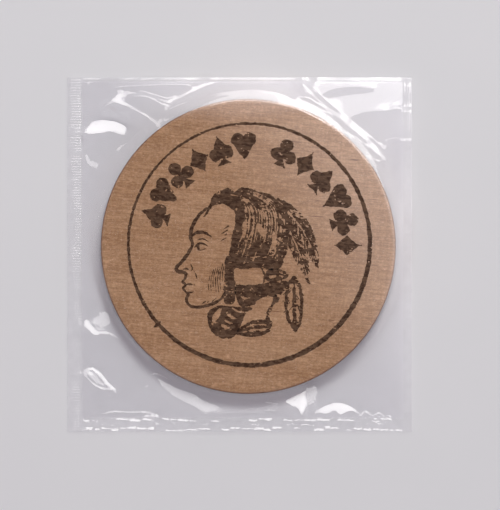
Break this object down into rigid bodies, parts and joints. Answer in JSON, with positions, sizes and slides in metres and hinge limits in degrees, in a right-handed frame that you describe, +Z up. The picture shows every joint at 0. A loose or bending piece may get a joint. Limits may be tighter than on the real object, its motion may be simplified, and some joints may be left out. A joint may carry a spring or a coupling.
{
  "type": "dealer button",
  "caption": "Flat round wooden token with a stamped portrait, a border ring and card-suit pips, lying loose in a clear film sachet sealed on all sides.",
  "frame": {"origin": "middle of the sachet's footprint, on the surface it rests on", "axes": "+Z up through the token's printed front, +Y towards the sachet's folded edge, +X to the right of the upright portrait"},
  "size_m": [0.0446, 0.0458, 0.0035],
  "materials": {
    "wood": "sanded, unvarnished pale hardwood with fine grain and short dark pores",
    "ink": "worn black-brown stamped ink, soaked into the grain",
    "clear_film": "thin clear glossy packing film with soft wrinkles",
    "welded_film": "clear film, two layers welded together, ribbed or crinkled by the sealing bar"
  },
  "bodies": {
    "pouch": {"back_film": "clear_film", "front_film": "clear_film", "left_end_seal": "welded_film", "right_end_seal": "welded_film", "bottom_seal": "welded_film", "top_fold": "welded_film"},
    "token": {"wood_disc": "wood", "front_ring_print": "ink", "back_ring_print": "ink", "spade_pip_prints": "ink", "heart_pip_prints": "ink", "club_pip_prints": "ink", "diamond_pip_prints": "ink", "hair_print": "ink", "hair_tie_print": "ink", "braid_print": "ink", "ribbon_print": "ink", "face_print": "ink", "upper_feather_print": "ink", "middle_feather_print": "ink", "lower_feather_print": "ink"}
  },
  "joints": [
    {"name": "token_spin", "type": "hinge", "parent": "pouch", "child": "token", "pos_m": [0.00115, 0.00105, 0.00015], "axis": [0, 0, 1], "continuous": true}
  ]
}
